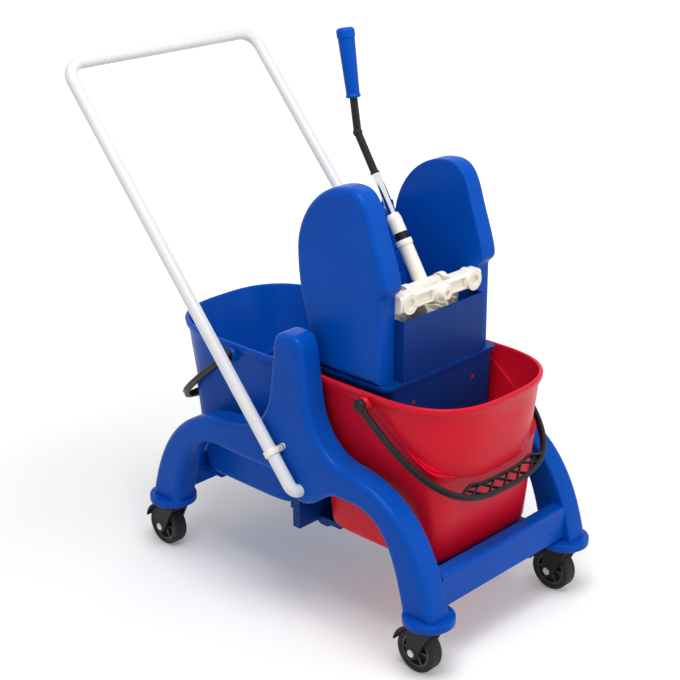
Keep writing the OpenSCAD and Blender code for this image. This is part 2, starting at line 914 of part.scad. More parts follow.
// trough that hangs in the red bucket, with an apron in front of the press
flange_half = cheek_half - 1;
module wringer_trough() {
    t = trough_wall;
    color(dark_blue)
        difference() {
            union() {
                soft_block(trough_x0, trough_x1, -trough_half, trough_half, trough_z, cheek_z - 1, 12);
                soft_block(cheek_x0 - 3, trough_x1 + 3, -flange_half, flange_half, cheek_z - 6, cheek_z, 14);
                translate([cheek_x1 - 4, -cheek_in, cheek_z - 2])
                    cube([trough_x1 - cheek_x1 + 4, 2 * cheek_in, apron_z - cheek_z + 2]);
            }
            soft_block(trough_x0 + t, trough_x1 - t, t - trough_half, trough_half - t,
                       trough_z + t, cheek_z - 6, 10);
            translate([cheek_x0 + 7, t - cheek_in, cheek_z - 7])
                cube([trough_x1 - t - cheek_x0 - 7, 2 * cheek_in - 2 * t, apron_z - cheek_z + 20]);
            for (x = [0 : 4], y = [-4 : 4])
                translate([trough_x0 + 24 + 25 * x, 25 * y, trough_z - 1])
                    cylinder(r = 5, h = t + 2, $fn = 32);
            for (x = cheek_screw_x, s = [-1, 1])
                translate([x, s * (cheek_in + cheek_half) / 2, cheek_z - 10])
                    cylinder(r = screw_r + fit, h = 12);
            for (s = [-1, 1])
                translate([0, s * rod_y, rod_z])
                    rotate([0, 90, 0])
                        cylinder(r = rod_r + fit, h = 2 * trough_x1);
        }
}
module cheek_screws() {
    color(steel)
        for (x = cheek_screw_x, s = [-1, 1])
            translate([x, s * (cheek_in + cheek_half) / 2, cheek_z - 6]) {
                cylinder(r = screw_r, h = 28);
                translate([0, 0, -3])
                    cylinder(r = screw_head, h = 3);
            }
}
// leaning back plate with drain holes and the two hooks over the beam
back_t = 5;
back_h = cheek_h - 90;
back_slope = atan(cheek_lean / (cheek_h - 120));
hook_y = 55;
hook_w = 30;
hook_t = 4.5;
module back_plate() {
    color(blue)
        difference() {
            union() {
                translate([0, cheek_in, 0])
                    rotate([90, 0, 0])
                        linear_extrude(2 * cheek_in)
                            polygon([[cheek_x0 + 1, cheek_z], [cheek_x0 + 1 + back_t, cheek_z],
                                     [cheek_x0 + 1 + back_t - back_h * tan(back_slope), cheek_z + back_h],
                                     [cheek_x0 + 1 - back_h * tan(back_slope), cheek_z + back_h]]);
                for (y = [-72, -24, 24, 72])
                    translate([0, y + 3, 0])
                        rotate([90, 0, 0])
                            linear_extrude(6)
                                polygon([
                                    [cheek_x0 + 4, cheek_z + 4],
                                    [cheek_x0 + 16, cheek_z + 4],
                                    [cheek_x0 + 16 - (back_h - 20) * tan(back_slope), cheek_z + back_h - 20],
                                    [cheek_x0 + 2 - (back_h - 8) * tan(back_slope), cheek_z + back_h - 8]
                                ]);
                for (y = [-hook_y, hook_y])
                    translate([0, y - hook_w / 2, 0])
                        hook();
            }
            for (i = [0 : 4], y = [-96, -48, 0, 48, 96])
                translate([cheek_x0 - (58 + 36 * i) * tan(back_slope) - 10, 0.88 * y, cheek_z + 62 + 36 * i])
                    rotate([0, 90 - back_slope, 0])
                        cylinder(r = 5, h = 30, $fn = 32);
        }
}
module hook() {
    top = beam_z + gap;
    back = beam_x - beam_t / 2 - 1 - hook_t;
    translate([back, 0, top])
        cube([cheek_x0 - (beam_z - cheek_z) * tan(back_slope) - back + 1, hook_w, 8]);
    translate([back, 0, top - 20])
        cube([hook_t, hook_w, 28]);
}
// white bridge that carries the lever shaft between the cheeks
module bearing_bridge() {
    color(white)
        difference() {
            union() {
                rotate([90, 0, 0])
                    translate([0, 0, -cheek_in])
                        linear_extrude(2 * cheek_in)
                            soft_square(bridge_x0, bridge_x1, bridge_z0, bridge_z1, 5);
                for (s = [-1, 1])
                    translate([pivot_x, s * (eye_y + eye_t / 2), pivot_z]) {
                        along_y(eye_r, -eye_t / 2, eye_t / 2);
                        translate([0, -eye_t / 2, bridge_z0 - pivot_z])
                            cube([bridge_x0 - pivot_x + 6, eye_t, bridge_z1 - bridge_z0 - 6]);
                    }
                for (y = [-lobe_y, lobe_y])
                    translate([bridge_x0 + 4, y, bridge_mid])
                        rotate([0, 90, 0])
                            cylinder(r = 17, h = bridge_x1 - bridge_x0);
                translate([bridge_x1 - 3, 0, bridge_mid])
                    rotate([0, 90, 0]) {
                        cylinder(r = 18, h = 6);
                        translate([0, 0, 5])
                            cylinder(r1 = 16, r2 = 11, h = 11);
                    }
            }
            translate([pivot_x, 0, pivot_z])
                along_y(shaft_r + run, -cheek_in, cheek_in);
            // room for the crank arms behind the front wall
            translate([bridge_x0 - 1, -notch_half, bridge_z0 - 1])
                cube([20, 2 * notch_half, bridge_z1 - bridge_z0 + 2]);
            for (y = [-lobe_y + 21, 23])
                translate([bridge_x1 - 5, y, bridge_z0 + 5])
                    cube([6, lobe_y - 44, bridge_z1 - bridge_z0 - 10]);
            for (y = [-lobe_y, lobe_y])
                translate([bridge_x1 - 1, y, bridge_mid])
                    rotate([0, 90, 0])
                        cylinder(r = 9, h = 6);
            translate([bridge_x1 + 4, 0, bridge_mid])
                rotate([0, 90, 0])
                    cylinder(r = 5, h = 12);
        }
}
module guide_rods() {
    color(steel)
        for (s = [-1, 1])
            translate([trough_x0, s * rod_y, rod_z])
                rotate([0, 90, 0])
                    cylinder(r = rod_r, h = trough_x1 - trough_x0);
}

// lever: shaft, yoke with crank arms, push bar, collar, ferrule, tube, bent rod and grip
module lever_place() {
    translate([pivot_x, 0, pivot_z])
        rotate([0, -lever_back, 0])
            children();
}
module crank_place() {
    translate([pivot_x, 0, pivot_z])
        rotate([0, -crank_angle, 0])
            children();
}
module pivot_shaft() {
    color(steel)
        translate([pivot_x, 0, pivot_z]) {
            along_y(shaft_r, -eye_y - eye_t - 6, eye_y + eye_t + 6);
            for (s = [0, 1])
                mirror([0, s, 0])
                    along_y(shaft_r + 3, eye_y + eye_t + 1, eye_y + eye_t + 4);
        }
}
module lever_yoke() {
    color(white)
        difference() {
            union() {
                translate([pivot_x, 0, pivot_z])
                    along_y(hub_r, -hub_half, hub_half);
                lever_place() {
                    cylinder(r = lever_r + 4.5, h = socket_len);
                    translate([0, 0, socket_len - 9])
                        cylinder(r = lever_r + 6, h = 9);
                }
                crank_place()
                    for (s = [0, 1])
                        mirror([0, s, 0])
                            translate([0, arm_y + arm_w, 0])
                                rotate([90, 0, 0])
                                    linear_extrude(arm_w) {
                                        translate([-9, -crank])
                                            square([18, crank]);
                                        translate([0, -crank])
                                            circle(9);
                                    }
            }
            translate([pivot_x, 0, pivot_z])
                along_y(shaft_r, -hub_half - 1, hub_half + 1);
            crank_place()
                translate([0, 0, -crank])
                    along_y(bar_r, -2 * arm_y - 20, 2 * arm_y + 20);
            lever_place()
                translate([0, 0, tube_in])
                    cylinder(r = lever_r, h = socket_len);
        }
}
module push_bar() {
    color(steel)
        crank_place()
            translate([0, 0, -crank])
                along_y(bar_r, -arm_y - arm_w - 3, arm_y + arm_w + 3);
}
// black collar and white ferrule around the tube, on top of the yoke's socket
module lever_collar() {
    color(black)
        lever_place()
            translate([0, 0, socket_len])
                difference() {
                    cylinder(r = lever_r + 2.5, h = collar_len);
                    translate([0, 0, -1])
                        cylinder(r = lever_r, h = collar_len + 2);
                }
}
module lever_ferrule() {
    color(white)
        lever_place()
            translate([0, 0, socket_len + collar_len])
                difference() {
                    union() {
                        cylinder(r = lever_r + 4, h = ferrule_len - 8);
                        translate([0, 0, ferrule_len - 8])
                            cylinder(r1 = lever_r + 4, r2 = lever_r + 1.5, h = 8);
                    }
                    translate([0, 0, -1])
                        cylinder(r = lever_r, h = ferrule_len + 2);
                }
}
// chrome tube from the yoke to the rod
module lever_tube() {
    color(steel)
        lever_place()
            difference() {
                translate([0, 0, tube_in])
                    cylinder(r = lever_r, h = rod_from - tube_in);
                translate([0, 0, tube_in - 1])
                    cylinder(r = lever_r - tube_wall, h = rod_from - tube_in + 2);
            }
}
// black rod: a spigot in the tube, a stop on the tube's end, a bend and a straight run into the grip
module lever_rod() {
    color(black)
        lever_place() {
            translate([0, 0, rod_from - rod_socket])
                cylinder(r = lever_rod_r - fit, h = rod_socket + 1);
            translate([0, 0, rod_from])
                cylinder(r = lever_r, h = 3);
            translate([0, 0, rod_from + 2])
                cylinder(r = lever_rod_r, h = lever_low - rod_from - 2);
            translate([0, 0, lever_low])
                sphere(r = lever_rod_r + 1.5);
            translate([0, 0, lever_low])
                rotate([0, bend, 0])
                    cylinder(r = lever_rod_r, h = lever_high - 16);
        }
}
module lever_grip() {
    color(blue)
        lever_place()
            translate([0, 0, lever_low])
                rotate([0, bend, 0])
                    translate([0, 0, lever_high - grip_len])
                        difference() {
                            rotate_extrude()
                                grip_profile();
                            translate([0, 0, -1])
                                cylinder(r = lever_rod_r, h = grip_len - 15);
                        }
}
module grip_profile() {
    polygon([[0, 0], [11.5, 0], [12.5, 3], [11, 6], [14, grip_len - 14], [0, grip_len - 14]]);
    translate([0, grip_len - 15])
        square([9, 15]);
    translate([0, grip_len - 15])
        square([15, 9]);
    translate([9, grip_len - 6])
        circle(6);
    translate([13, grip_len - 15])
        circle(2);
}
// press plate: slides on the rods, its slotted lugs around the push bar
lug_y = 9;
lug_t = 6;
push_x = pivot_x + crank * sin(crank_angle);
push_z = pivot_z - crank * cos(crank_angle);
slot_half = bar_r + 1.7;
module press_plate() {
    color(white)
        difference() {
            union() {
                translate([plate_x, -plate_half, plate_z0])
                    cube([plate_t, 2 * plate_half, plate_z1 - plate_z0]);
                for (y = [-80, -48, 48, 80])
                    translate([plate_x + 1, y - 2, plate_z0 + 70])
                        cube([plate_t + 7, 4, plate_z1 - plate_z0 - 80]);
                for (s = [-1, 1])
                    translate([plate_x, s * rod_y, rod_z])
                        rotate([0, 90, 0])
                            cylinder(r = rod_r + 6, h = plate_t + 14);
                for (s = [0, 1])
                    mirror([0, s, 0])
                        translate([0, lug_y + lug_t, 0])
                            rotate([90, 0, 0])
                                linear_extrude(lug_t)
                                    lug();
            }
            for (s = [-1, 1])
                translate([plate_x - 1, s * rod_y, rod_z])
                    rotate([0, 90, 0])
                        cylinder(r = rod_r + run, h = plate_t + 30);
        }
}
module lug() {
    low = pivot_z - crank - bar_r - 3;
    high = push_z + bar_r + 3;
    difference() {
        polygon([[plate_x + 1, low - 40], [push_x + slot_half + 4, low - 4],
                 [push_x + slot_half + 4, high + 3], [push_x - slot_half - 6, high + 3],
                 [plate_x + 1, high - 4]]);
        translate([push_x - slot_half, low])
            square([2 * slot_half, high - low]);
    }
}

// every sub-part in its place
module place() {
    translate([shift_x, 0, 0])
        children();
}
place() right_side_frame();
place() left_side_frame();
place() caster_sockets();
place() front_crossbar();
place() rear_crossbar();
place() center_beam();
place() beam_screws();
place() push_handle();
place() handle_clips();
place() clip_screws();
place() fork_fr();
place() stem_fr();
place() axle_fr();
place() hub_fr();
place() tyre_fr();
place() fork_fl();
place() stem_fl();
place() axle_fl();
place() hub_fl();
place() tyre_fl();
place() fork_rr();
place() stem_rr();
place() axle_rr();
place() hub_rr();
place() tyre_rr();
place() fork_rl();
place() stem_rl();
place() axle_rl();
place() hub_rl();
place() tyre_rl();
place() red_bucket();
place() red_bail();
place() blue_bucket();
place() blue_bail();
place() right_cheek();
place() left_cheek();
place() wringer_trough();
place() back_plate();
place() bearing_bridge();
place() guide_rods();
place() cheek_screws();
place() pivot_shaft();
place() lever_yoke();
place() push_bar();
place() lever_collar();
place() lever_ferrule();
place() lever_tube();
place() lever_rod();
place() lever_grip();
place() press_plate();
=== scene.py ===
"""Looks of a double mop bucket trolley: finishes, refined mouldings, studio light and camera."""

import json
import math

import bmesh
import bpy
from mathutils import Matrix, Vector


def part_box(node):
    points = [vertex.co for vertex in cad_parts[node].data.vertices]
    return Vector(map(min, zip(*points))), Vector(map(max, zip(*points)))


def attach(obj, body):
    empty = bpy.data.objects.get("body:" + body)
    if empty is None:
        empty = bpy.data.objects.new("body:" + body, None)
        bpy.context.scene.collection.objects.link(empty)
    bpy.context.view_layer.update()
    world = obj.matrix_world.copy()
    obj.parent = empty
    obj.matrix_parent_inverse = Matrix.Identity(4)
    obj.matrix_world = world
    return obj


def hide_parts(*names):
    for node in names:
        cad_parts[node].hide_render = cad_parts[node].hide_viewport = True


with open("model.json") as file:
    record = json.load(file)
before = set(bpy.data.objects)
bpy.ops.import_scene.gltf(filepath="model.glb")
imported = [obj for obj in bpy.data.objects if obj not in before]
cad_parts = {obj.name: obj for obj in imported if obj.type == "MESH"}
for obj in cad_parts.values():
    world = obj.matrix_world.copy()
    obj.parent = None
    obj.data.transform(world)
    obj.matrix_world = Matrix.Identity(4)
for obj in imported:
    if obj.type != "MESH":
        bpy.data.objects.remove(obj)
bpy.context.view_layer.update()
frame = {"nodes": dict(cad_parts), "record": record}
nodes = frame["nodes"]
scene = bpy.context.scene
scene.view_settings.view_transform = "Standard"
MM = 0.001
WELD_GAP = 0.00001
MERGE_GAP = 0.000002


# Procedural materials


def node_tree(name):
    material = bpy.data.materials.new(name)
    material.use_nodes = True
    tree = material.node_tree
    return material, tree, tree.nodes["Principled BSDF"]


def add(tree, kind, **inputs):
    """A new shader node; keyword names are socket names with _ for spaces."""
    made = tree.nodes.new(kind)
    for key, value in inputs.items():
        made.inputs[key.replace("_", " ")].default_value = value
    return made


def noise(tree, coords, scale, detail=3.0, roughness=0.5):
    made = add(tree, "ShaderNodeTexNoise", Scale=scale, Detail=detail, Roughness=roughness)
    tree.links.new(coords, made.inputs["Vector"])
    return made.outputs["Fac"]


def spread(tree, value, low, high):
    """Maps a noise value, which stays near its middle, to the range from low to high."""
    made = add(tree, "ShaderNodeMapRange", From_Min=0.3, From_Max=0.7, To_Min=low, To_Max=high)
    tree.links.new(value, made.inputs["Value"])
    return made.outputs["Result"]


def mottle(tree, value, dark, light):
    """A colour between dark and light."""
    made = tree.nodes.new("ShaderNodeMix")
    made.data_type = "RGBA"
    made.inputs["A"].default_value = (*dark, 1.0)
    made.inputs["B"].default_value = (*light, 1.0)
    tree.links.new(value, made.inputs["Factor"])
    return made.outputs["Result"]


def shade(colour, factor):
    return tuple(min(1.0, c * factor) for c in colour)


def bump(tree, shader, heights):
    """Stacks bumps from (height, distance in metres, strength) onto the shader's normal."""
    normal = None
    for height, distance, strength in heights:
        made = add(tree, "ShaderNodeBump", Strength=strength, Distance=distance)
        tree.links.new(height, made.inputs["Height"])
        if normal is not None:
            tree.links.new(normal, made.inputs["Normal"])
        normal = made.outputs["Normal"]
    tree.links.new(normal, shader.inputs["Normal"])


def moulded(name, colour, roughness, specular=0.45, vary=0.06):
    """Injection-moulded plastic: fine spark-eroded grain, slow sink waves and uneven gloss."""
    material, tree, shader = node_tree(name)
    coords = tree.nodes.new("ShaderNodeTexCoord").outputs["Object"]
    cloud = spread(tree, noise(tree, coords, 9.0, 4.0), 0.0, 1.0)
    tint = mottle(tree, cloud, shade(colour, 1 - vary), shade(colour, 1 + vary))
    tree.links.new(tint, shader.inputs["Base Color"])
    gloss = spread(tree, noise(tree, coords, 38.0, 5.0, 0.6), roughness - 0.05, roughness + 0.07)
    tree.links.new(gloss, shader.inputs["Roughness"])
    shader.inputs["Specular IOR Level"].default_value = specular
    grain = noise(tree, coords, 900.0, 2.0)
    waves = noise(tree, coords, 14.0, 1.0)
    bump(tree, shader, [(waves, 0.0012, 0.25), (grain, 0.00012, 0.12)])
    return material


def powder_coat(name, colour):
    """Powder-coated tube: orange-peel surface under a soft gloss."""
    material, tree, shader = node_tree(name)
    coords = tree.nodes.new("ShaderNodeTexCoord").outputs["Object"]
    cloud = spread(tree, noise(tree, coords, 16.0, 3.0), 0.0, 1.0)
    tint = mottle(tree, cloud, shade(colour, 0.97), shade(colour, 1.02))
    tree.links.new(tint, shader.inputs["Base Color"])
    gloss = spread(tree, noise(tree, coords, 60.0, 3.0), 0.22, 0.34)
    tree.links.new(gloss, shader.inputs["Roughness"])
    shader.inputs["Coat Weight"].default_value = 0.25
    shader.inputs["Coat Roughness"].default_value = 0.12
    peel = noise(tree, coords, 420.0, 1.0)
    bump(tree, shader, [(peel, 0.00015, 0.3)])
    return material


def plated(name, colour, roughness, stretch):
    """Bare or plated metal with fine drawn lines along the object's Z, or even when stretch is 1."""
    material, tree, shader = node_tree(name)
    coords = tree.nodes.new("ShaderNodeTexCoord").outputs["Object"]
    mapping = tree.nodes.new("ShaderNodeMapping")
    mapping.inputs["Scale"].default_value = (1.0, 1.0, stretch)
    tree.links.new(coords, mapping.inputs["Vector"])
    lines = noise(tree, mapping.outputs["Vector"], 700.0, 3.0)
    cloud = spread(tree, noise(tree, coords, 45.0, 4.0), 0.0, 1.0)
    tint = mottle(tree, cloud, shade(colour, 0.92), shade(colour, 1.04))
    tree.links.new(tint, shader.inputs["Base Color"])
    gloss = spread(tree, lines, roughness - 0.04, roughness + 0.08)
    tree.links.new(gloss, shader.inputs["Roughness"])
    shader.inputs["Metallic"].default_value = 1.0
    bump(tree, shader, [(lines, 0.00005, 0.2)])
    return material


def rubber(name, colour):
    """Tyre rubber: matt, with dust in its grain."""
    material, tree, shader = node_tree(name)
    coords = tree.nodes.new("ShaderNodeTexCoord").outputs["Object"]
    dust = spread(tree, noise(tree, coords, 120.0, 5.0, 0.65), -0.6, 0.7)
    tint = mottle(tree, dust, colour, shade(colour, 2.4))
    tree.links.new(tint, shader.inputs["Base Color"])
    shader.inputs["Roughness"].default_value = 0.72
    shader.inputs["Specular IOR Level"].default_value = 0.3
    grain = noise(tree, coords, 800.0, 2.0)
    bump(tree, shader, [(grain, 0.0002, 0.4)])
    return material


BLUE = (0.0006, 0.072, 0.44)
# A darker blue for the trough and the centre beam: partly their own darker plastic, partly painted
# shade for the shadow they sit in.
DARK_BLUE_AND_SHADE = (0.0004, 0.036, 0.225)
RED = (0.66, 0.006, 0.024)
BLACK = (0.012, 0.012, 0.013)
finishes = {
    "blue_plastic": moulded("blue_plastic", BLUE, 0.30, specular=0.08),
    "dark_blue_plastic": moulded("dark_blue_plastic", DARK_BLUE_AND_SHADE, 0.36, specular=0.12),
    "red_plastic": moulded("red_plastic", RED, 0.30, specular=0.14),
    "black_plastic": moulded("black_plastic", BLACK, 0.40, specular=0.2, vary=0.12),
    "grey_plastic": moulded("grey_plastic", (0.045, 0.048, 0.055), 0.4, vary=0.10),
    "black_rubber": rubber("black_rubber", (0.016, 0.016, 0.017)),
    "white_plastic": moulded("white_plastic", (0.91, 0.86, 0.75), 0.38, vary=0.03),
    "white_paint": powder_coat("white_paint", (0.76, 0.77, 0.78)),
    "steel": plated("steel", (0.62, 0.63, 0.65), 0.3, 0.06),
    "chrome": plated("chrome", (0.78, 0.79, 0.81), 0.1, 1.0),
}


# The CAD nodes: a finish for each, and soft edges for some

EDGE_ANGLE = math.radians(40)
slot_of = {row["node"]: row["material_slot"] for row in frame["record"]["subparts"]}


def soft_edges(node, width):
    weld = node.modifiers.new("weld", "WELD")
    weld.merge_threshold = WELD_GAP
    bevel = node.modifiers.new("edges", "BEVEL")
    bevel.width = width
    bevel.segments = 2
    bevel.limit_method = "ANGLE"
    bevel.angle_limit = EDGE_ANGLE
    bevel.harden_normals = True


def dress(name, edge):
    node = nodes[name]
    node.data.materials.clear()
    node.data.materials.append(finishes[slot_of[name]])
    if edge:
        soft_edges(node, edge)


# Bevel widths in metres
EDGES = {
    "bearing_bridge": 0.0012,
    "lever_yoke": 0.0010,
    "press_plate": 0.0008,
    "back_plate": 0.0006,
    "wringer_trough": 0.0008,
    "center_beam": 0.0008,
    "front_crossbar": 0.0008,
    "rear_crossbar": 0.0008,
    "handle_clips": 0.0006,
}
for name in nodes:
    dress(name, EDGES.get(name, 0.0))


# Shared sizes, in millimetres from the middle of the wheelbase, as in the solids

STEM_X = 310.0
FRAME_IN = 160.0
FRAME_OUT = 206.0
SOCKET_Z = 95.0
LEG_Z = SOCKET_Z + 14.0
ARCH_Z = SOCKET_Z + 163.0
ARM_Z = ARCH_Z + 53.0
FLOOR_Z = SOCKET_Z + 54.3
RIM_Z = FLOOR_Z + 286.0
TOWER_Z = RIM_Z + 76.0
TOWER_X = 22.0
TOWER_HALF = 32.0
TOWER_ROUND = 24.0
BEAM_X = -6.0
FOOT_X = TOWER_X + 28.0
FOOT_Z = ARCH_Z - 12.0
LOBE_HALF = 80.0
LOBE_R = 26.0
BAIL_X = 150.0
BAIL_Z = RIM_Z - 20.0
stem_low, stem_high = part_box("stem_fr")
SHIFT = (stem_low.x + stem_high.x) / 2 / MM - STEM_X


def bezier(a, b, c, d, count):
    """Points on a curve from a towards d; d itself is left to the next run."""
    points = []
    for i in range(count):
        t = i / count
        s = 1 - t
        weights = (s * s * s, 3 * s * s * t, 3 * s * t * t, t * t * t)
        points.append(tuple(sum(w * p[k] for w, p in zip(weights, (a, b, c, d))) for k in (0, 1)))
    return points


def outward(a, b):
    """Unit vector to the right of the way from a to b."""
    dx, dy = b[0] - a[0], b[1] - a[1]
    length = math.hypot(dx, dy)
    return dy / length, -dx / length


def inset(points, depth):
    """An anticlockwise outline moved inwards by depth."""
    moved = []
    for i, p in enumerate(points):
        m = outward(points[i - 1], p)
        k = outward(p, points[(i + 1) % len(points)])
        scale = depth / (1 + m[0] * k[0] + m[1] * k[1])
        moved.append((p[0] - scale * (m[0] + k[0]), p[1] - scale * (m[1] + k[1])))
    return moved


def piece(name, body, slot_name, points, faces, sharp=35.0, replaced=()):
    """A mesh from points in millimetres of the wheelbase frame, riding on a body."""
    mesh = bpy.data.meshes.new(name)
    mesh.from_pydata([((x + SHIFT) * MM, y * MM, z * MM) for x, y, z in points], [], faces)
    work = bmesh.new()
    work.from_mesh(mesh)
    bmesh.ops.remove_doubles(work, verts=work.verts, dist=MERGE_GAP)
    bmesh.ops.recalc_face_normals(work, faces=work.faces)
    work.to_mesh(mesh)
    work.free()
    mesh.polygons.foreach_set("use_smooth", [True] * len(mesh.polygons))
    mesh.set_sharp_from_angle(angle=math.radians(sharp))
    mesh.materials.append(finishes[slot_name])
    made = bpy.data.objects.new(name, mesh)
    scene.collection.objects.link(made)
    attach(made, body)
    if replaced:
        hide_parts(*replaced)


def skin(rings):
    """Points and quads through rings of equal length, with one flat face at each end."""
    count = len(rings[0])
    points = [p for ring in rings for p in ring]
    faces = []
    for k in range(len(rings) - 1):
        for i in range(count):
            j = (i + 1) % count
            faces.append((k * count + i, k * count + j, (k + 1) * count + j, (k + 1) * count + i))
    top = (len(rings) - 1) * count
    faces.append(tuple(range(count)))
    faces.append(tuple(range(top, top + count)))
    return points, faces


def joined(*parts):
    """Several (points, faces) pairs as one."""
    points, faces = [], []
    for some_points, some_faces in parts:
        start = len(points)
        points += some_points
        faces += [tuple(start + i for i in face) for face in some_faces]
    return points, faces


def mirrored(part, axis):
    """A (points, faces) pair mirrored across the plane through the origin."""
    points, faces = part
    sign = [1.0, 1.0, 1.0]
    sign[axis] = -1.0
    return [tuple(s * c for s, c in zip(sign, p)) for p in points], faces


# Side frames: arched legs that rise into the towers, with a rounded edge

FRAME_EDGE_IN = 4.0
FRAME_EDGE_OUT = 12.0
FRAME_SEAT = 9.0
BORDER = 2.0


def frame_upper(side, leg, arm):
    """Upper edge of one half, from the foot of the leg to the top of the tower."""
    foot = (TOWER_X + side * (TOWER_HALF + 13), ARM_Z + 82)
    neck = (TOWER_X + side * TOWER_HALF, TOWER_Z - TOWER_ROUND)
    crown = (TOWER_X + side * (TOWER_HALF - TOWER_ROUND), TOWER_Z)
    return (
        bezier((leg, LEG_Z), (leg - side * 23, ARCH_Z - 42),
               (arm + side * 112, ARM_Z - 10), (arm, ARM_Z), 40)
        + bezier((arm, ARM_Z), (TOWER_X + side * (TOWER_HALF + 54), ARM_Z + 5),
                 (TOWER_X + side * (TOWER_HALF + 24), ARM_Z + 36), foot, 26)
        + bezier(foot, (foot[0] - side * 5, foot[1] + 28), (neck[0] + side * 2, TOWER_Z - 40), neck, 12)
        + bezier(neck, (neck[0] - side * 2, TOWER_Z - 9), (neck[0] - side * 10, TOWER_Z), crown, 14)
        + [crown]
    )


def under_z(x):
    """Height of the under edge, which dips in a lobe below the handle's foot."""
    k = min(1.0, abs(x - FOOT_X) / LOBE_HALF)
    return ARCH_Z - (ARCH_Z - FOOT_Z + LOBE_R) * (1 + math.cos(math.pi * k)) / 2


def frame_lower(side, leg, arm):
    """Under edge of one half, from the foot of the leg to below the tower."""
    marks = [arm + side * 10] + [TOWER_X + side * (TOWER_HALF + reach) for reach in (18, 4, -12)]
    arch = bezier((leg, LEG_Z), (leg - side * 22, ARCH_Z - 47),
                  (arm + side * 75, ARCH_Z), (marks[0], ARCH_Z), 40)
    run = []
    for start, end, count in zip(marks, marks[1:], (26, 12, 14)):
        run += [start + (end - start) * i / count for i in range(count)]
    run.append(marks[-1])
    return arch + [(x, under_z(x)) for x in run]


def frame_outline():
    """The frame from the side; its legs run on below the height where they are cut off."""
    leg_out, leg_in, arm = STEM_X + 28, STEM_X - 38, STEM_X - 160
    deep = LEG_Z - 60
    return (
        [(leg_out, deep)]
        + frame_upper(1, leg_out, arm)
        + frame_upper(-1, -leg_out, -arm)[::-1]
        + [(-leg_out, deep), (-leg_in, deep)]
        + frame_lower(-1, -leg_in, -arm)
        + frame_lower(1, leg_in, arm)[::-1]
        + [(leg_in, deep)]
    )


def plate_depths(low, high, low_edge, high_edge):
    """(y, inset) pairs from one face of a plate to the other, each face with a flat border."""
    depths = [(low, low_edge + BORDER)]
    for i in range(5):
        a = math.radians(90 * i / 4)
        depths.append((low + low_edge * (1 - math.cos(a)), low_edge * (1 - math.sin(a))))
    for i in range(11):
        a = math.radians(90 * i / 10)
        depths.append((high - high_edge * (1 - math.sin(a)), high_edge * (1 - math.cos(a))))
    depths.append((high, high_edge + BORDER))
    return depths


def plate_part(outline, low, high, low_edge, high_edge, bottom):
    """A plate with rounded edges, cut off flat at its bottom."""
    rings = []
    for y, depth in plate_depths(low, high, low_edge, high_edge):
        rings.append([(x, y, max(z, bottom)) for x, z in inset(outline, depth)])
    return skin(rings)


def frame_part():
    """The left frame, from its inner face to its outer face, its feet seated in the caster flanges."""
    bottom = LEG_Z - FRAME_SEAT
    return plate_part(frame_outline(), FRAME_IN, FRAME_OUT, FRAME_EDGE_IN, FRAME_EDGE_OUT, bottom)


left_frame = frame_part()
piece("left_frame", "chassis", "blue_plastic", *left_frame, replaced=["left_side_frame"])
piece("right_frame", "chassis", "blue_plastic", *mirrored(left_frame, 1), replaced=["right_side_frame"])


# Buckets: a box-shaped lower body, a rounded upper body above a slanting crease, a rolled rim

RIM_FRONT = STEM_X + 15
RIM_BACK = BEAM_X + 15
RIM_HALF = 157.0
LIP = 4.0
WALL = 3.0
FLOOR_FRONT = STEM_X - 18 + 2 * BEAM_X - 5
FLOOR_BACK = RIM_BACK + 20
FLOOR_HALF = RIM_HALF - 27
LOW_FRONT = FLOOR_FRONT + 19
LOW_BACK = RIM_BACK + 5
LOW_HALF = RIM_HALF - 7
RIM_MID = (RIM_FRONT + RIM_BACK) / 2
LOW_MID = RIM_MID - 6
FRONT_TAPER = 40.0
SIDE_TAPER = 8.0
PROBE_Z = BAIL_Z - 60
CREASE = math.tan(math.radians(36))
AROUND = 192
CROWD = 0.16
REAR_MORE = 26.0
BOX_POWER = 7
FRONT_POWER = 2.8
BACK_POWER = 8
BAIL_HALF = RIM_HALF + 11
BAIL_WIDE = 8.0
BAIL_PLAY = 0.5


def power_point(t, middle, front, back, half, front_power, back_power):
    """A point of a rounded box seen from above; a higher power gives squarer corners."""
    c, s = math.cos(t), math.sin(t)
    power = front_power if c >= 0 else back_power
    reach = front - middle if c >= 0 else middle - back
    x = middle + reach * math.copysign(abs(c) ** (2 / power), c)
    return x, half * math.copysign(abs(s) ** (2 / power), s)


def low_point(t, z, depth):
    k = (z - FLOOR_Z) / (BAIL_Z - FLOOR_Z)
    front = FLOOR_FRONT + k * (LOW_FRONT - FLOOR_FRONT) - depth
    back = FLOOR_BACK + k * (LOW_BACK - FLOOR_BACK) + depth
    half = FLOOR_HALF + k * (LOW_HALF - FLOOR_HALF) - depth
    return power_point(t, LOW_MID, front, back, half, BOX_POWER, BOX_POWER)


def high_point(t, z, depth, more=0.0):
    """A point of the upper body; more is how much farther the rim reaches than the plain bucket's."""
    k = (RIM_Z - z) / (RIM_Z - FLOOR_Z)
    front = RIM_FRONT + more - LIP - (FRONT_TAPER + more) * k - depth
    half = RIM_HALF - LIP - SIDE_TAPER * k - depth
    return power_point(t, RIM_MID, front, RIM_BACK + LIP + depth, half, FRONT_POWER, BACK_POWER)


def crease_z(x):
    """Height of the crease, level behind the bail's pivots and falling towards the front."""
    return min(BAIL_Z - 1, BAIL_Z - (x - BAIL_X) * CREASE)


def angles():
    """Angles round a bucket, crowded towards its corners so that they stay smooth."""
    turn = [2 * math.pi * i / AROUND for i in range(AROUND)]
    return [t - CROWD * math.sin(4 * t) for t in turn]


def low_ring(z, depth):
    return [(*low_point(t, z, depth), z) for t in angles()]


def high_ring(z, depth, more):
    return [(*high_point(t, z, depth, more), z) for t in angles()]


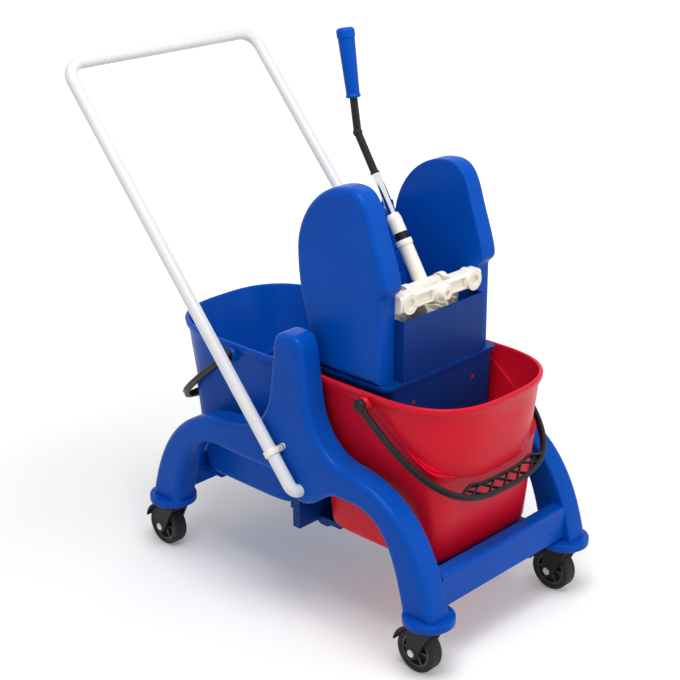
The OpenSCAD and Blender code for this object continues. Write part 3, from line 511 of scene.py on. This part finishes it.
def crease_low(depth, up):
    """The lower body's ring along the crease, whose slant is read at one height."""
    ring = []
    for t in angles():
        z = crease_z(low_point(t, PROBE_Z, depth)[0])
        ring.append((*low_point(t, z, depth), z + up))
    return ring


def crease_high(depth, up, more):
    """The upper body's ring along the same crease."""
    ring = []
    for t in angles():
        z = crease_z(high_point(t, PROBE_Z, depth)[0])
        ring.append((*high_point(t, z, depth, more), z + up))
    return ring


def between(a, b, count):
    """Rings evenly spaced between two rings, without the two themselves."""
    shares = [(i + 1) / (count + 1) for i in range(count)]
    return [[tuple(p + (q - p) * k for p, q in zip(v, w)) for v, w in zip(a, b)] for k in shares]


def bucket_part(more):
    """Rings from the underside, up the outside, over the rim and down the inside to the floor."""
    foot_top = low_ring(FLOOR_Z + 13, 0.0)
    under_step = crease_low(0.0, -2.5)
    over_step = crease_high(0.0, 2.0, more)
    under_rim = high_ring(RIM_Z - 12.5, 0.0, more)
    rings = [
        low_ring(FLOOR_Z, 14.0),
        low_ring(FLOOR_Z + 1.2, 8.0),
        low_ring(FLOOR_Z + 4, 3.2),
        low_ring(FLOOR_Z + 8, 0.8),
        foot_top,
        *between(foot_top, under_step, 3),
        under_step,
        crease_low(-0.6, -0.4),
        crease_high(1.4, -0.2, more),
        crease_high(0.3, 0.6, more),
        over_step,
        *between(over_step, under_rim, 3),
        under_rim,
        high_ring(RIM_Z - 11.4, -0.6, more),
        high_ring(RIM_Z - 11.2, 0.8 - LIP, more),
        high_ring(RIM_Z - 10.4, -LIP, more),
        high_ring(RIM_Z - 3, -LIP, more),
        high_ring(RIM_Z - 1, 0.8 - LIP, more),
        high_ring(RIM_Z, 2.6 - LIP, more),
        high_ring(RIM_Z, WALL - 2.2, more),
        high_ring(RIM_Z - 0.8, WALL - 0.6, more),
        high_ring(RIM_Z - 3, WALL, more),
        crease_high(WALL, WALL + 2, more),
        crease_high(WALL + 1, WALL, more),
        crease_low(WALL - 0.5, WALL),
        crease_low(WALL, WALL - 2),
        low_ring(FLOOR_Z + WALL + 12, WALL),
        low_ring(FLOOR_Z + WALL + 4, WALL + 3),
        low_ring(FLOOR_Z + WALL, WALL + 12),
    ]
    return skin(rings)


def turned(profile, place, count=48):
    """A profile of (radius, y) turned about the Y axis through place, closed at both ends."""
    turn = [2 * math.pi * i / count for i in range(count)]
    rings = []
    for radius, y in profile:
        ring = []
        for t in turn:
            x = place[0] + radius * math.cos(t)
            z = place[2] + radius * math.sin(t)
            ring.append((x, place[1] + y, z))
        rings.append(ring)
    return skin(rings)


def boss_part():
    """Boss that carries a bail pin, with a shallow fillet to the wall."""
    outer = BAIL_HALF - BAIL_WIDE / 2 - BAIL_PLAY
    profile = [
        (15.0, LOW_HALF - 1),
        (13.0, LOW_HALF + 2),
        (12.0, outer - 1.2),
        (11.2, outer - 0.3),
        (10.0, outer),
    ]
    boss = turned(profile, (BAIL_X, 0.0, BAIL_Z))
    return joined(boss, mirrored(boss, 1))


def to_rear(part):
    """A part of the front bucket mirrored to the rear one."""
    points, faces = mirrored(part, 0)
    return [(x + 2 * BEAM_X, y, z) for x, y, z in points], faces


red_pail = joined(bucket_part(0.0), boss_part())
blue_pail = to_rear(joined(bucket_part(REAR_MORE), boss_part()))
piece("red_pail", "red_bucket", "red_plastic", *red_pail, sharp=50.0, replaced=["red_bucket"])
piece("blue_pail", "blue_bucket", "blue_plastic", *blue_pail, sharp=50.0, replaced=["blue_bucket"])


# Bails: a flat U-shaped band, with a second rail and crossed struts inside its front as a grip

BAIL_LEN = 224.0
BAIL_POWER = 3.0
BAIL_HANG = math.radians(39)
BAIL_TALL = 12.0
BAIL_GROOVE = 1.2
BAND_COUNT = 36
EYE_R = 11.0
PIN_R = 4.0
GRIP_HALF = 88.0
GRIP_RUN = 40.0
GRIP_END = GRIP_HALF + 0.6 * GRIP_RUN
GRIP_DEPTH = 22.0
GRIP_CELLS = 5
RAIL_WIDE = 5.0
STRUT_WIDE = 3.2
STRUT_TALL = 6.0
STRUT_COUNT = 12


def bail_point(t, far):
    c, s = max(0.0, math.cos(t)), math.sin(t)
    power = 2 / BAIL_POWER
    return far * c ** power, BAIL_HALF * math.copysign(abs(s) ** power, s)


def bail_reach(y, far):
    """How far the band lies from the pivots at a distance y from the middle."""
    return far * (1 - (abs(y) / BAIL_HALF) ** BAIL_POWER) ** (1 / BAIL_POWER)


def rail_reach(y, far):
    """Reach of the grip's inner rail, which runs into the band at both ends."""
    k = min(1.0, (GRIP_END - abs(y)) / GRIP_RUN)
    return bail_reach(y, far) - GRIP_DEPTH * k * k * (3 - 2 * k)


def hung(point):
    """A point of the bail's own plane, swung down to where it hangs."""
    x, y, z = point
    c, s = math.cos(BAIL_HANG), math.sin(BAIL_HANG)
    return BAIL_X + x * c + z * s, y, BAIL_Z - x * s + z * c


def band_part(run, wide, tall, count=20, groove=0.0):
    """A band of softly squared section along points of the bail's plane, grooved along its outside."""
    rings = []
    for i, (x, y) in enumerate(run):
        nx, ny = outward(run[max(0, i - 1)], run[min(len(run) - 1, i + 1)])
        ring = []
        for k in range(count):
            a = 2 * math.pi * k / count
            c, s = math.cos(a), math.sin(a)
            u = wide / 2 * math.copysign(abs(c) ** 0.5, c)
            v = tall / 2 * math.copysign(abs(s) ** 0.5, s)
            if c > 0:
                u -= groove * max(0.0, 1 - abs(v) / (0.32 * tall))
            ring.append(hung((x + nx * u, y + ny * u, v)))
        rings.append(ring)
    return skin(rings)


def lattice_part(far):
    """Crossed struts between the band and the grip's inner rail."""
    cell = 2 * GRIP_HALF / GRIP_CELLS
    parts = []
    for i in range(GRIP_CELLS):
        y0 = i * cell - GRIP_HALF
        y1 = y0 + cell
        out_strut = [(rail_reach(y0, far), y0), (bail_reach(y1, far), y1)]
        in_strut = [(bail_reach(y0, far), y0), (rail_reach(y1, far), y1)]
        parts.append(band_part(out_strut, STRUT_WIDE, STRUT_TALL, STRUT_COUNT))
        parts.append(band_part(in_strut, STRUT_WIDE, STRUT_TALL, STRUT_COUNT))
    return joined(*parts)


def bail_part(far):
    band = [bail_point(math.pi * (i / 150 - 0.5), far) for i in range(151)]
    rail = [(rail_reach(y, far), y) for y in (GRIP_END * (i / 40 - 1) for i in range(81))]
    eye_in, eye_out = BAIL_HALF - 4.2, BAIL_HALF + 4.5
    eye_profile = [(9.8, eye_in), (EYE_R, eye_in + 1), (EYE_R, eye_out - 1.2),
                   (10.0, eye_out), (5.0, eye_out), (4.4, eye_out - 1)]
    pin_profile = [(3.2, LOW_HALF - WALL - 1), (PIN_R, LOW_HALF - WALL), (PIN_R, BAIL_HALF)]
    pivot = (BAIL_X, 0, BAIL_Z)
    eye = joined(turned(eye_profile, pivot), turned(pin_profile, pivot, 32))
    return joined(
        band_part(band, BAIL_WIDE, BAIL_TALL, BAND_COUNT, BAIL_GROOVE),
        band_part(rail, RAIL_WIDE, BAIL_TALL),
        lattice_part(far),
        eye,
        mirrored(eye, 1),
    )


red_bail = bail_part(BAIL_LEN)
blue_bail = to_rear(bail_part(BAIL_LEN + REAR_MORE))
piece("red_pail_bail", "red_bail", "black_plastic", *red_bail, sharp=50.0, replaced=["red_bail"])
piece("blue_pail_bail", "blue_bail", "black_plastic", *blue_bail, sharp=50.0, replaced=["blue_bail"])


# Wringer cheeks: tall plates with broad rounded edges, a front that slants out to a hip over the bridge

CHEEK_IN = 99.0
CHEEK_HALF = 139.0
CHEEK_X0 = RIM_BACK + 18
CHEEK_X1 = CHEEK_X0 + 136
CHEEK_Z = RIM_Z + 6
CHEEK_TOP = CHEEK_Z + 312
CHEEK_LEAN = 47.0
CHEEK_EDGE_IN = 3.0
CHEEK_EDGE_OUT = 11.0
STEP_Z = CHEEK_Z + 138
HIP_X = CHEEK_X1 + 13
HIP_Z = STEP_Z + 24


def cheek_outline():
    """The cheek from the side: shoulder, crown, nape, base, toe, step and hip in turn."""
    shoulder = (CHEEK_X1 - 14, CHEEK_TOP - 62)
    crown = (CHEEK_X1 - 68, CHEEK_TOP)
    nape = (CHEEK_X0 - CHEEK_LEAN + 1, CHEEK_TOP - 120)
    base = (CHEEK_X0, CHEEK_Z)
    toe = (CHEEK_X1, CHEEK_Z)
    step = (CHEEK_X1, STEP_Z)
    hip = (HIP_X, HIP_Z)
    return (
        bezier(shoulder, (CHEEK_X1 - 27, CHEEK_TOP - 17), (CHEEK_X1 - 40, CHEEK_TOP), crown, 30)
        + bezier(crown, (CHEEK_X1 - 134, CHEEK_TOP), (nape[0], CHEEK_TOP - 62), nape, 42)
        + bezier(nape, (nape[0], nape[1] - 62), (nape[0] + 12, nape[1] - 106), base, 14)
        + [base]
        + bezier(toe, (CHEEK_X1, CHEEK_Z + 50), (CHEEK_X1, STEP_Z - 50), step, 10)
        + bezier(step, (CHEEK_X1, STEP_Z + 12), (HIP_X, HIP_Z - 12), hip, 16)
        + bezier(hip, (HIP_X, HIP_Z + 16), (shoulder[0] + 16, shoulder[1] - 46), shoulder, 20)
    )


def cheek_part():
    return plate_part(cheek_outline(), CHEEK_IN, CHEEK_HALF, CHEEK_EDGE_IN, CHEEK_EDGE_OUT, CHEEK_Z)


cheek = cheek_part()
piece("left_wringer_cheek", "wringer", "blue_plastic", *cheek, replaced=["left_cheek"])
piece("right_wringer_cheek", "wringer", "blue_plastic", *mirrored(cheek, 1), replaced=["right_cheek"])


# Studio: pale floor, white surround, two soft lamps, camera fitted to the photograph


def seen_directly(tree):
    """1 for rays of the camera and of gloss and glass, 0 for the light that falls on things."""
    path = tree.nodes.new("ShaderNodeLightPath")
    most = path.outputs["Is Camera Ray"]
    for other in ("Is Glossy Ray", "Is Transmission Ray"):
        larger = tree.nodes.new("ShaderNodeMath")
        larger.operation = "MAXIMUM"
        tree.links.new(most, larger.inputs[0])
        tree.links.new(path.outputs[other], larger.inputs[1])
        most = larger.outputs[0]
    return most


def studio_floor(near_lift, far_lift):
    """Pale floor that takes the shadow near the trolley and turns white farther out."""
    floor_size = 30.0
    shadow_reach = 0.55
    white_from = 1.5
    bpy.ops.mesh.primitive_plane_add(size=floor_size, location=(0, 0, 0))
    floor = bpy.context.object
    floor.name = "studio_floor"
    material, tree, shader = node_tree("studio_floor")
    coords = tree.nodes.new("ShaderNodeTexCoord").outputs["Object"]
    tone = spread(tree, noise(tree, coords, 3.0, 2.0), 0.0, 1.0)
    tint = mottle(tree, tone, (0.93, 0.93, 0.93), (0.95, 0.95, 0.95))
    tree.links.new(tint, shader.inputs["Base Color"])
    shader.inputs["Roughness"].default_value = 0.9
    shader.inputs["Specular IOR Level"].default_value = 0.1
    distance = tree.nodes.new("ShaderNodeVectorMath")
    distance.operation = "LENGTH"
    tree.links.new(coords, distance.inputs[0])
    lift = add(tree, "ShaderNodeMapRange", From_Min=shadow_reach, From_Max=white_from,
               To_Min=near_lift, To_Max=far_lift)
    lift.interpolation_type = "SMOOTHSTEP"
    tree.links.new(distance.outputs["Value"], lift.inputs["Value"])
    glow = tree.nodes.new("ShaderNodeMath")
    glow.operation = "MULTIPLY"
    tree.links.new(seen_directly(tree), glow.inputs[0])
    tree.links.new(lift.outputs["Result"], glow.inputs[1])
    shader.inputs["Emission Color"].default_value = (1.0, 1.0, 1.0, 1.0)
    tree.links.new(glow.outputs[0], shader.inputs["Emission Strength"])
    floor.data.materials.append(material)


def white_surround(light_strength):
    """White for what is seen directly; a plain level for the light itself."""
    world = bpy.data.worlds.new("surround")
    scene.world = world
    world.use_nodes = True
    tree = world.node_tree
    back = tree.nodes["Background"]
    back.inputs["Color"].default_value = (1.0, 1.0, 1.0, 1.0)
    back.inputs["Strength"].default_value = light_strength
    white = add(tree, "ShaderNodeBackground", Strength=1.0)
    white.inputs["Color"].default_value = (1.0, 1.0, 1.0, 1.0)
    mix = tree.nodes.new("ShaderNodeMixShader")
    tree.links.new(seen_directly(tree), mix.inputs[0])
    tree.links.new(back.outputs[0], mix.inputs[1])
    tree.links.new(white.outputs[0], mix.inputs[2])
    tree.links.new(mix.outputs[0], tree.nodes["World Output"].inputs["Surface"])


def softbox(name, place, target, size, watts):
    data = bpy.data.lights.new(name, "AREA")
    data.shape = "SQUARE"
    data.size = size
    data.energy = watts
    lamp = bpy.data.objects.new(name, data)
    scene.collection.objects.link(lamp)
    lamp.location = place
    lamp.rotation_euler = (Vector(target) - Vector(place)).to_track_quat("-Z", "Y").to_euler()


def photo_camera():
    azimuth = math.radians(44.03)
    elevation = math.radians(21.34)
    roll = math.radians(-0.37)
    level = math.cos(elevation)
    back = Vector((math.sin(azimuth) * level, -math.cos(azimuth) * level, math.sin(elevation)))
    flat_right = Vector((math.cos(azimuth), math.sin(azimuth), 0.0))
    flat_up = back.cross(flat_right)
    right = math.cos(roll) * flat_right + math.sin(roll) * flat_up
    up = math.cos(roll) * flat_up - math.sin(roll) * flat_right
    data = bpy.data.cameras.new("camera")
    data.sensor_width = 36.0
    data.lens = 81.66
    camera = bpy.data.objects.new("camera", data)
    scene.collection.objects.link(camera)
    place = Vector((1.75539, -1.79230, 1.39875))
    camera.matrix_world = Matrix((
        (right.x, up.x, back.x, place.x),
        (right.y, up.y, back.y, place.y),
        (right.z, up.z, back.z, place.z),
        (0.0, 0.0, 0.0, 1.0),
    ))
    scene.camera = camera


studio_floor(near_lift=0.15, far_lift=0.6)
white_surround(light_strength=0.5)
softbox("key_light", place=(0.7, -0.5, 2.6), target=(0.0, 0.0, 0.3), size=1.2, watts=38.0)
softbox("fill_light", place=(2.2, 0.6, 1.2), target=(0.0, 0.0, 0.4), size=1.4, watts=8.0)
photo_camera()
